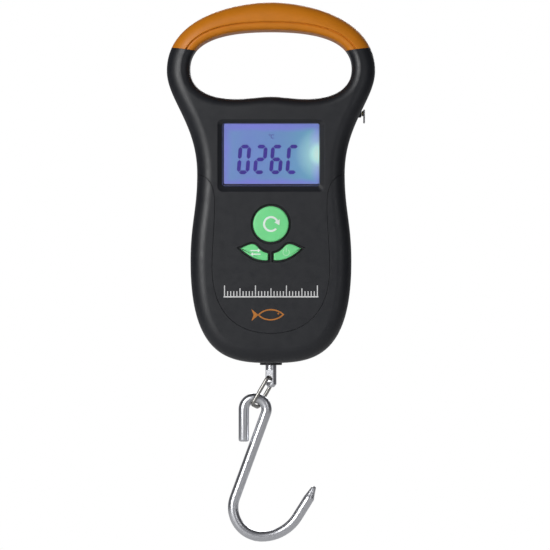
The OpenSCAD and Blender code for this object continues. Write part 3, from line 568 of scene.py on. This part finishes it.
def build_front_cover():
    cover = combine(hollow_case("front_cover"), [front_zone(SEAM_GAP / 2)], "INTERSECT")
    for x, z in CASE_SCREWS:
        combine(cover, [rod("boss", x, (INNER_FRONT - 0.3, 0.2), z, 2.6)], "UNION")
    for x, z in BOARD_SCREWS:
        combine(cover, [rod("post", x, (INNER_FRONT - 0.3, -6.45), z, 1.7)], "UNION")
    half_w, half_h = LCD_HALF_W + BEZEL_W, LCD_H / 2 + BEZEL_W
    mid = LCD_MID_Z - 0.4
    surround = [at_depth(rounded_box(half_w + 0.25, half_h + 0.25, mid, 2.4), FRONT_Y - 0.5),
                at_depth(rounded_box(half_w, half_h, mid, 2.2), FRONT_Y),
                at_depth(rounded_box(half_w - 0.55, half_h - 0.55, mid, 1.9), FRONT_Y + 0.45),
                at_depth(rounded_box(LCD_HALF_W + 0.02, LCD_H / 2 + 0.02, LCD_MID_Z, 1.2), WINDOW_Y + 0.05)]
    window = rounded_box(LCD_HALF_W + 0.1, LCD_H / 2 + 0.1, LCD_MID_Z, 1.3)
    rim = RESET_R + KEY_GAP
    rim_steps = ((rim + 0.6, FRONT_Y - 0.3), (rim + 0.3, FRONT_Y), (rim, FRONT_Y + 0.5))
    cuts = [skin("surround", surround),
            prism("window_hole", window, WINDOW_Y - 0.1, -8.0),
            rod("reset_hole", 0, (-20, -8), RESET_Z, rim, 120),
            skin("reset_rim", [at_depth(circle_points(0, RESET_Z, r, 120), y) for r, y in rim_steps])]
    leaf_steps = ((KEY_GAP + 0.5, FRONT_Y - 0.3), (KEY_GAP + 0.25, FRONT_Y), (KEY_GAP - 0.02, FRONT_Y + 0.5))
    for side in (1, -1):
        flip = np.array([side, 1])
        cuts.append(prism("leaf_hole", inset(leaf_outline(), -KEY_GAP) * flip, -20, -8))
        cuts.append(skin("leaf_rim", [at_depth(inset(leaf_outline(), -d) * flip, y) for d, y in leaf_steps]))
    cuts += [rod("screw_hole", x, (-10, 3), z, 1.25) for x, z in CASE_SCREWS]
    cuts += [rod("screw_hole", x, (-10.6, 0), z, 0.95) for x, z in BOARD_SCREWS]
    combine(cover, cuts)
    return dress(smooth(cover), "charcoal_plastic", "case")


def build_back_cover():
    cover = combine(hollow_case("back_cover"), [seam_cutter()])
    outer_half = BAY_HALF_W + BAY_WALL
    parts = [block("bay", (-outer_half, outer_half), (BAY_FLOOR_Y, INNER_BACK + 0.3),
                   (BAY_LOW - BAY_WALL, BAY_TOP + BAY_WALL))]
    parts += [block("ledge", (side * 23 - 5.6, side * 23 + 5.6), (0.4, INNER_BACK + 0.1), (-101, -94.1))
              for side in (-1, 1)]
    parts += [rod("boss", x, (0.4, INNER_BACK + 0.3), z, 2.9) for x, z in CASE_SCREWS]
    combine(cover, parts, "UNION")
    gap_half = DOOR_HALF_W + DOOR_GAP
    cuts = [block("room", (-BAY_HALF_W, BAY_HALF_W), (BAY_FLOOR_Y + 1, BACK_Y - DOOR_T),
                  (BAY_LOW, BAY_TOP)),
            prism("door_hole", rounded_box(gap_half, (DOOR_TOP - DOOR_LOW) / 2 + DOOR_GAP,
                                           (DOOR_TOP + DOOR_LOW) / 2, 0.6), BACK_Y - DOOR_T - 0.1, 30)]
    cuts += [block("tab_room", (side * 14 - 3.4, side * 14 + 3.4), (7.6, 11.9),
                   (BAY_LOW - 2.4, BAY_LOW + 1.6))
             for side in (-1, 1)]
    for x, z in CASE_SCREWS:
        cuts += [rod("screw_way", x, (0, 30), z, 1.35), rod("screw_well", x, (9.4, 30), z, 2.6, 56)]
    cuts += [block("tape_mouth", (31, 44), (TAPE_Y - 3.7, TAPE_Y + 3.7),
                   (TAPE_TOP_Z - 1.5, TAPE_TOP_Z + 1.5)),
             post_hole(3.7, (-151, -138))]
    combine(cover, cuts)
    return dress(smooth(cover), "charcoal_plastic", "case")


def post_hole(r, z, n=56):
    ring = [(r * math.cos(2 * math.pi * i / n), r * math.sin(2 * math.pi * i / n)) for i in range(n)]
    return skin("post_hole", [[(x, y, zz) for x, y in ring] for zz in z])


# Finger side of the grip, as (distance from the opening, depth under the face): a moulded crease,
# a flat band below it, then the rounded inner edge.
GRIP_BAND = [(4.5, 0.0), (4.1, 0.06), (3.8, 0.22), (3.65, 0.5), (3.55, 1.1), (3.3, 1.15), (3.15, 0.8),
             (2.9, 0.66), (2.5, 0.66), (2.0, 0.74), (1.5, 0.98), (1.0, 1.42), (0.6, 2.05), (0.3, 2.85),
             (0.1, 3.8), (0.0, 5.0)]


def crease_rings():
    h = CASE_T / 2
    return ([(-s, (depth - h) / h, 0) for s, depth in GRIP_BAND]
            + [(-s, (h - depth) / h, 0) for s, depth in reversed(GRIP_BAND)])


def build_grip():
    grip = combine(case_solid(0, "soft_grip"), [opening_solid(0, rings=crease_rings())])
    combine(grip, [grip_zone()], "INTERSECT")
    combine(grip, [loop_solid(GRIP_SKIN - 0.03)])
    return dress(smooth(grip), "orange_grip", "case")


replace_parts(build_front_cover(), "front_shell")
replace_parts(build_back_cover(), "rear_shell")
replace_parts(build_grip(), "handle_grip")

# ---- keys and their printed signs ---------------------------------------------------------
KEY_TOP_Y = FRONT_Y - 0.74
KEY_BACK_Y = INNER_FRONT + 0.95
FLANGE_Y = INNER_FRONT + 0.15
STEM_END_Y, STEM_R = -8.4, 1.5
LEAF_MID = (-5.2, -100.0)


def turned_y(name, profile, cx, cz, n=96):
    """Solid of revolution about an axis along Y, from (radius, y) pairs that start and end on the axis."""
    verts, faces = [], []
    for r, y in profile[1:-1]:
        verts += [(x, y, z) for x, z in circle_points(cx, cz, r, n)]
    rows = len(profile) - 2
    faces = [(j * n + i, j * n + (i + 1) % n, (j + 1) * n + (i + 1) % n, (j + 1) * n + i)
             for j in range(rows - 1) for i in range(n)]
    for y, base in ((profile[0][1], 0), (profile[-1][1], (rows - 1) * n)):
        verts.append((cx, y, cz))
        faces += [(base + i, base + (i + 1) % n, len(verts) - 1) for i in range(n)]
    return mesh_object(name, verts, faces)


def build_reset_key():
    top = KEY_TOP_Y
    edge = [(RESET_R - 0.7 + 0.7 * math.sin(a), top + 0.16 + 0.7 * (1 - math.cos(a)))
            for a in np.linspace(0.15, math.pi / 2, 7)]
    profile = [(0, top), (2.5, top + 0.01), (4.5, top + 0.05), (6.0, top + 0.11)] + edge
    profile += [(RESET_R, FLANGE_Y), (RESET_R + 0.9, FLANGE_Y), (RESET_R + 0.9, KEY_BACK_Y),
                (STEM_R, KEY_BACK_Y), (STEM_R, STEM_END_Y), (0, STEM_END_Y)]
    return dress(smooth(turned_y("reset_key_cap", profile, 0, RESET_Z)), "green_keys", "reset_key")


def build_leaf_key(name, side, body):
    flip = np.array([side, 1])
    steps = [(0.55, 0.0), (0.3, 0.05), (0.12, 0.2), (0.03, 0.42), (0.0, 0.7)]
    loops = [at_depth(inset(leaf_outline(14), d) * flip, KEY_TOP_Y + drop) for d, drop in steps]
    loops.append(at_depth(leaf_outline(14) * flip, KEY_BACK_Y))
    x = side * LEAF_MID[0]
    key = combine(skin(name, loops), [
        block("flange", (x - 2.2, x + 2.2), (FLANGE_Y, KEY_BACK_Y + 0.01),
              (LEAF_MID[1] - 3.2, LEAF_MID[1] + 2.2)),
        rod("stem", x, (KEY_BACK_Y - 0.3, STEM_END_Y), LEAF_MID[1], STEM_R)], "UNION")
    return dress(smooth(key, 40), "green_keys", body)


def build_key_painted_gap_shade():
    """Black ring that fills the gap round the keys, a little under the face: painted shade of the gap."""
    y0, y1 = FRONT_Y + 0.95, FRONT_Y + 1.4
    painted_gap_shade = combine(rod("key_painted_gap_shade", 0, (y0, y1), RESET_Z, RESET_R + KEY_GAP + 0.1, 96),
                     [rod("bore", 0, (y0 - 1, y1 + 1), RESET_Z, RESET_R + 0.06, 96)])
    for side in (1, -1):
        flip = np.array([side, 1])
        leaf_gap_shade = combine(prism("leaf_gap_shade", inset(leaf_outline(14), -KEY_GAP - 0.1) * flip, y0, y1),
                         [prism("bore", inset(leaf_outline(14), -0.05) * flip, y0 - 1, y1 + 1)])
        combine(painted_gap_shade, [leaf_gap_shade], "UNION")
    return dress(smooth(painted_gap_shade), "black_plastic", "case")


def marks(name, shapes, y0, y1):
    """Thin printed shapes: one prism for each closed outline of (x, z) points."""
    verts, faces = [], []
    for points in shapes:
        n, base = len(points), len(verts)
        verts += [(x, y, z) for y in (y0, y1) for x, z in points]
        faces += [tuple(range(base, base + n)), tuple(range(base + 2 * n - 1, base + n - 1, -1))]
        faces += [(base + i, base + (i + 1) % n, base + n + (i + 1) % n, base + n + i) for i in range(n)]
    return mesh_object(name, verts, faces)


def arc_strip(cx, cz, r0, r1, start, end, n=40):
    """Flat strip between two radii, from one angle to another in degrees."""
    turn = np.radians(np.linspace(start, end, n))
    outer = [(cx + r1 * math.cos(a), cz + r1 * math.sin(a)) for a in turn]
    inner = [(cx + r0 * math.cos(a), cz + r0 * math.sin(a)) for a in turn[::-1]]
    return outer + inner


def arrow(x0, x1, z, half, head):
    """Straight arrow from x0 to x1."""
    way = 1 if x1 > x0 else -1
    neck = x1 - way * head
    return [(x0, z - half), (neck, z - half), (neck, z - head * 0.72), (x1, z), (neck, z + head * 0.72),
            (neck, z + half), (x0, z + half)]


def build_key_signs():
    tip_a = math.radians(28)
    r = 2.9
    tip = (r * math.cos(tip_a), RESET_Z + r * math.sin(tip_a))
    out, along = (math.cos(tip_a), math.sin(tip_a)), (math.sin(tip_a), -math.cos(tip_a))
    head = [(tip[0] + 1.35 * out[0], tip[1] + 1.35 * out[1]),
            (tip[0] + 2.1 * along[0], tip[1] + 2.1 * along[1]),
            (tip[0] - 1.35 * out[0], tip[1] - 1.35 * out[1])]
    face = KEY_TOP_Y - 0.03
    back = KEY_TOP_Y + 0.25
    sign = marks("reset_sign", [arc_strip(0, RESET_Z, r - 0.42, r + 0.42, 28, 318), head], face, back)
    dress(sign, "key_print", "reset_key")
    arrows = [arrow(-8.6, -4.4, -98.35, 0.22, 1.1), arrow(-4.4, -8.6, -99.85, 0.22, 1.1)]
    unit = marks("unit_sign", arrows, face, back)
    dress(unit, "key_print", "unit_key")
    power = marks("power_sign", [arc_strip(6.4, -99.1, 1.15, 1.5, 125, 415),
                                 [(6.22, -98.9), (6.58, -98.9), (6.58, -97.1), (6.22, -97.1)]], face, back)
    dress(power, "key_print_faint", "power_key")


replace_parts(build_reset_key(), "reset_button")
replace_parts(build_leaf_key("unit_key_cap", 1, "unit_key"), "unit_button")
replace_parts(build_leaf_key("power_key_cap", -1, "power_key"), "power_button")
build_key_signs()
# Painted shade: black rings in the gaps round the keys.
build_key_painted_gap_shade()

# ---- figures on the display ---------------------------------------------------------------
DIGIT_W, DIGIT_LOW, DIGIT_HIGH, STROKE, BREAK = 5.3, -66.2, -53.8, 1.6, 0.14
SLANT = math.tan(math.radians(4.6))
SEGMENTS = {"0": "abcdef", "2": "abged", "6": "acdefg", "C": "adef"}


def figure(x0, lit):
    """Lit segments of one seven-bar figure, as six-sided bars leaning right."""
    mid, h = (DIGIT_LOW + DIGIT_HIGH) / 2, STROKE / 2
    left, right = x0 + h, x0 + DIGIT_W - h
    rows = {"a": DIGIT_HIGH - h, "g": mid, "d": DIGIT_LOW + h}
    posts = {"f": (left, mid, rows["a"]), "b": (right, mid, rows["a"]),
             "e": (left, rows["d"], mid), "c": (right, rows["d"], mid)}
    shapes = []
    for name in lit:
        if name in rows:
            z, a, b = rows[name], left + BREAK, right - BREAK
            points = [(a, z), (a + h, z + h), (b - h, z + h), (b, z), (b - h, z - h), (a + h, z - h)]
        else:
            x, low, high = posts[name]
            a, b = low + BREAK, high - BREAK
            points = [(x, a), (x - h, a + h), (x - h, b - h), (x, b), (x + h, b - h), (x + h, a + h)]
        shapes.append([(x + (z - DIGIT_LOW) * SLANT, z) for x, z in points])
    return shapes


def build_figures():
    shapes = []
    for x0, sign in ((-14.5, "0"), (-7.6, "2"), (-0.84, "6"), (6.0, "C")):
        shapes += figure(x0, SEGMENTS[sign])
    shapes += [arc_strip(-0.55, -49.65, 0.2, 0.36, 0, 359, 20),
               arc_strip(0.75, -50.35, 0.62, 0.86, 45, 315, 20)]
    digits = marks("display_figures", shapes, WINDOW_Y + 1.505, WINDOW_Y + 1.545)
    dress(digits, "digit_ink", "case")


def build_window_frame_and_shade():
    """Black frame printed on the back of the window round the lit field, widened at the left and bottom as
    painted shade of the window's recess.
    """
    y0, y1 = WINDOW_Y + 1.503, WINDOW_Y + 1.525
    # The lit field is set off to the right and upwards, so the frame is wider at the left and bottom:
    # painted shade of the recess.
    lit = rounded_box(20.0, 12.65, -57.65, 0.5) + np.array([0.2, 0])
    frame_and_shade = combine(prism("window_frame_and_shade", rounded_box(LCD_HALF_W, LCD_H / 2, LCD_MID_Z, 1.2), y0, y1),
                     [prism("lit_field", lit, y0 - 1, y1 + 1)])
    return dress(smooth(frame_and_shade), "black_plastic", "case")


build_figures()
# Painted shade: the window's black frame, wider at the left and bottom.
build_window_frame_and_shade()

# ---- printed marks on the front -----------------------------------------------------------
PRINT_Y = (FRONT_Y - 0.03, FRONT_Y + 0.1)
TICKS, TICK_STEP, TICK_LOW = 31, 1.3, -117.4


def build_front_marks():
    ticks = []
    for i in range(TICKS):
        x = TICK_STEP * (i - (TICKS - 1) / 2)
        high = TICK_LOW + (4.4 if i % 10 == 0 else 3.2 if i % 5 == 0 else 2.0)
        ticks.append([(x - 0.2, TICK_LOW), (x + 0.2, TICK_LOW), (x + 0.2, high), (x - 0.2, high)])
    ticks.append([(-19.9, -118.0), (19.9, -118.0), (19.9, -117.5), (-19.9, -117.5)])
    dress(marks("scale_ticks", ticks, *PRINT_Y), "white_print", "case")
    body = np.vstack([bezier(((-5.6, -125.4), (-3.0, -122.2), (2.4, -122.0), (5.6, -125.2)), 14),
                      bezier(((5.6, -125.2), (2.4, -128.6), (-3.0, -128.4), (-5.6, -125.4)), 14)])
    ring = [tuple(p) for p in body] + [tuple(body[0])]
    inner = [tuple(p) for p in inset(body, 0.55)]
    fish = [ring + [inner[0]] + inner[:0:-1] + [inner[0]]]
    fish.append([(-5.2, -125.4), (-8.2, -122.9), (-7.3, -125.4), (-8.2, -127.9)])
    fish.append(arc_strip(3.1, -124.8, 0.05, 0.4, 0, 355, 16))
    dress(marks("fish_sign", fish, *PRINT_Y), "orange_print", "case")


build_front_marks()

# ---- hook and link ------------------------------------------------------------------------
HOOK_BAR, UPPER_BEND_R, LOWER_BEND_R = 4.4, 4.8, 12.2
BEND_TOP, BEND_LOW = np.array([-6.7, -165.4]), np.array([-3.8, -206.9])
TIP_BEND_R, TIP_TURN, TIP_STRAIGHT, TIP_CONE, LEG_LEN = 17.6, 58.0, 9.6, 4.9, 11.4
EYE_Z, EYE_TURN, LINK_WIRE, LINK_HALF_W, LINK_CORNER_R = -152.3, math.radians(25), 1.6, 3.9, 1.6
LINK_PLAY = 0.3


def bend(centre, r, start, end, w, n):
    """Stations (point, bar radius) round a bend, from one angle to another in degrees."""
    return [(np.array([centre[0] + r * math.cos(a), centre[1] + r * math.sin(a)]), w)
            for a in np.radians(np.linspace(start, end, n + 1))]


def swept_bar(name, stations, sides, place, closed=False):
    """Round bar through stations of a flat path, put into space by place(along x, along y, across)."""
    loops = []
    last = len(stations) - 1
    for i, (p, w) in enumerate(stations):
        before = stations[i - 1][0] if i or closed else p
        after = stations[(i + 1) % (last + 1)][0] if i < last or closed else p
        tx, ty = (after - before) / np.linalg.norm(after - before)
        loops.append([place(p[0] - ty * w * math.cos(b), p[1] + tx * w * math.cos(b), w * math.sin(b))
                      for b in np.linspace(0, 2 * math.pi, sides, endpoint=False)])
    return skin(name, loops, closed=closed)


def build_hook():
    w = HOOK_BAR / 2
    lean = math.degrees(math.asin((UPPER_BEND_R + LOWER_BEND_R) / np.linalg.norm(BEND_TOP - BEND_LOW))
                        - math.atan2(BEND_LOW[0] - BEND_TOP[0], BEND_TOP[1] - BEND_LOW[1]))
    tip_centre = BEND_LOW + (0, TIP_BEND_R - LOWER_BEND_R)
    turn = math.radians(TIP_TURN)
    way = np.array([math.cos(turn), math.sin(turn)])
    cone = tip_centre + TIP_BEND_R * np.array([way[1], -way[0]]) + TIP_STRAIGHT * way
    leg_end = BEND_TOP - (UPPER_BEND_R, LEG_LEN + w)
    rounding = ((0, 1.6), (0.02, 0.75), (0.12, 0.42), (0.32, 0.2), (0.6, 0.06), (1.0, 0))
    stations = [(leg_end + (0, up), w - off) for up, off in rounding]
    stations += bend(BEND_TOP, UPPER_BEND_R, 180, -lean, w, 40)
    stations += bend(BEND_LOW, LOWER_BEND_R, 180 - lean, 270, w, 30)
    stations += bend(tip_centre, TIP_BEND_R, 270 + TIP_TURN / 14, 270 + TIP_TURN, w, 13)
    # The point is ground from one side, so its middle drifts to the other.
    side = np.array([-way[1], way[0]])
    taper = ((-0.5, 1), (0.0, 0.995), (0.4, 0.93), (1.4, 0.8), (2.7, 0.65), (4.1, 0.5), (4.6, 0.43),
             (4.85, 0.34), (TIP_CONE, 0.2))
    for along, share in taper:
        stations.append((cone + along * way + (1 - share) * w * 0.55 * side, w * share))
    hook = swept_bar("hook_bar", stations, 48, lambda a, b, c: (a, -c, b))
    return dress(smooth(hook, 50, False), "hook_steel", "hook")


def build_link():
    foot = np.array([BEND_TOP[0], 0, BEND_TOP[1] + UPPER_BEND_R - HOOK_BAR / 2 - LINK_WIRE / 2 - LINK_PLAY])
    run = foot - (0, 0, EYE_Z)
    length = np.linalg.norm(run)
    down = run / length
    eye = np.array([-math.sin(EYE_TURN), -math.cos(EYE_TURN), 0])
    wide = eye - eye.dot(down) * down
    wide /= np.linalg.norm(wide)
    across = np.cross(wide, down)
    x, r, w = LINK_HALF_W - LINK_CORNER_R, LINK_CORNER_R, LINK_WIRE / 2
    stations = []
    for cx, cy, start in ((x, r, -90), (x, length - r, 0), (-x, length - r, 90), (-x, r, 180)):
        stations += bend((cx, cy), r, start, start + 90, w, 12)
    top = np.array([0, 0, EYE_Z])
    link = swept_bar("link_wire", stations, 28,
                     lambda a, b, c: tuple(top + a * wide + b * down + c * across), True)
    return dress(smooth(link, 50, False), "link_steel", "hook_link")


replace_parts(build_hook(), "s_hook")
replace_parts(build_link(), "link")

# ---- tape ---------------------------------------------------------------------------------
TAPE_W, TAPE_IN_X, TAPE_END_X = 5.6, 13.0, 39.1


def build_tape():
    """Strip from the coil to the end tab, slightly cupped."""
    across = np.linspace(-TAPE_W / 2, TAPE_W / 2, 9)
    cup = 0.1 * (across / (TAPE_W / 2)) ** 2
    loops = []
    for x in np.concatenate([[TAPE_IN_X, 24.0], np.linspace(33.0, 38.0, 41), [38.6, TAPE_END_X]]):
        top = [(x, TAPE_Y + y, TAPE_TOP_Z + 0.1 + c) for y, c in zip(across, cup)]
        low = [(x, TAPE_Y + y, TAPE_TOP_Z + c) for y, c in zip(across[::-1], cup[::-1])]
        loops.append(top + low)
    strip = dress(smooth(skin("tape_strip", loops), 40, False), "tape_print")
    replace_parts(strip, "tape_blade")
    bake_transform(strip)


build_tape()


def bevelled(obj, width_mm, segments=3):
    mod = obj.modifiers.new("edges", "BEVEL")
    mod.width = width_mm * MM
    mod.segments = segments
    mod.limit_method = "ANGLE"
    mod.angle_limit = math.radians(50)
    return obj


def build_tape_mouth():
    """Flush black lip round the mouth, with a slot for the tape."""
    lip = combine(prism("tape_lip", rounded_box(2.1, 1.4, TAPE_TOP_Z, 0.5) + np.array([36.2, 0]),
                        TAPE_Y - 3.6, TAPE_Y + 3.6),
                  [block("slot", (30, 42), (TAPE_Y - 2.95, TAPE_Y + 2.95),
                         (TAPE_TOP_Z - 0.15, TAPE_TOP_Z + 0.45))])
    return dress(bevelled(smooth(lip, 40, False), 0.15), "black_plastic", "case")


def build_tab():
    """End hook: a pressed plate, clamped to the tape by a dark block with two rivets."""
    edge = rounded_box(0.33, 2.85, -41.45, 0.15, 4) + np.array([39.45, 0])
    plate = prism("tab_plate", edge, TAPE_Y - 3.1, TAPE_Y + 3.1)
    dress(bevelled(smooth(plate, 40, False), 0.12), "pressed_steel", "tape_end")
    clamp = block("tab_clamp", (38.45, 39.2), (TAPE_Y - 2.7, TAPE_Y + 2.7), (-41.1, -39.3))
    for y in (-1.5, 1.5):
        turns = np.linspace(0, 2 * math.pi, 20, endpoint=False)
        rivet = [[(38.8 + 0.3 * math.cos(a), TAPE_Y + y + 0.5 * math.sin(a), z) for a in turns]
                 for z in (-41.25, -39.15)]
        combine(clamp, [skin("rivet", rivet)], "UNION")
    dress(smooth(clamp, 40, False), "black_plastic", "tape_end")
    return plate


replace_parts(build_tape_mouth(), "tape_guide")
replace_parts(build_tab(), "tape_tab")


# ---- studio -------------------------------------------------------------------------------
FLOOR_Z = -262.0


def add_area(name, place_mm, aim_mm, size_mm, watts, colour=(1, 1, 1)):
    data = bpy.data.lights.new(name, "AREA")
    data.shape = "RECTANGLE"
    data.size, data.size_y = (s * MM for s in size_mm)
    data.energy = watts
    data.color = colour
    light = bpy.data.objects.new(name, data)
    bpy.context.scene.collection.objects.link(light)
    light.location = Vector(place_mm) * MM
    light.rotation_euler = (Vector(aim_mm) - Vector(place_mm)).to_track_quat("-Z", "Y").to_euler()


def add_world():
    """White backdrop, seen by the camera only, round a dim room that lights the object."""
    world = bpy.data.worlds.new("studio")
    bpy.context.scene.world = world
    world.use_nodes = True
    tree = world.node_tree
    room = tree.nodes["Background"]
    coord = tree.nodes.new("ShaderNodeTexCoord")
    split = tree.nodes.new("ShaderNodeSeparateXYZ")
    tree.links.new(coord.outputs["Generated"], split.inputs[0])
    ramp = tree.nodes.new("ShaderNodeValToRGB")
    share = tree.nodes.new("ShaderNodeMath")
    share.operation = "MULTIPLY_ADD"
    share.inputs[1].default_value = share.inputs[2].default_value = 0.5
    tree.links.new(split.outputs["Y"], share.inputs[0])
    tree.links.new(share.outputs[0], ramp.inputs["Fac"])
    stops = ramp.color_ramp.elements
    stops.new(0.3)
    stops.new(0.5)
    for stop, (place, value) in zip(stops, ((0.0, 0.24), (0.3, 0.12), (0.5, 0.03), (1.0, 0.3))):
        stop.position = place
        stop.color = (value, value, value * 1.06, 1)
    tree.links.new(ramp.outputs["Color"], room.inputs["Color"])
    room.inputs["Strength"].default_value = 1.0
    backdrop = tree.nodes.new("ShaderNodeBackground")
    backdrop.inputs["Color"].default_value = (1, 1, 1, 1)
    backdrop.inputs["Strength"].default_value = 1.0
    path = tree.nodes.new("ShaderNodeLightPath")
    mix = tree.nodes.new("ShaderNodeMixShader")
    tree.links.new(path.outputs["Is Camera Ray"], mix.inputs["Fac"])
    tree.links.new(room.outputs[0], mix.inputs[1])
    tree.links.new(backdrop.outputs[0], mix.inputs[2])
    tree.links.new(mix.outputs[0], tree.nodes["World Output"].inputs["Surface"])


def add_studio():
    corners = [(x, y, FLOOR_Z) for x, y in ((-600, -600), (600, -600), (600, 600), (-600, 600))]
    floor = mesh_object("floor", corners, [(0, 1, 2, 3)])
    floor.data.materials.append(moulded("floor_paint", (0.86, 0.86, 0.86), 0.7, 5.0, 0.02, 0.01))
    add_world()
    add_area("key", (-600, -950, 180), (0, 0, -100), (420, 700), 9)
    add_area("fill", (700, -1000, 60), (0, 0, -110), (160, 500), 0.7)
    add_area("back", (200, 1200, 420), (0, 0, -90), (900, 600), 9)


add_studio()
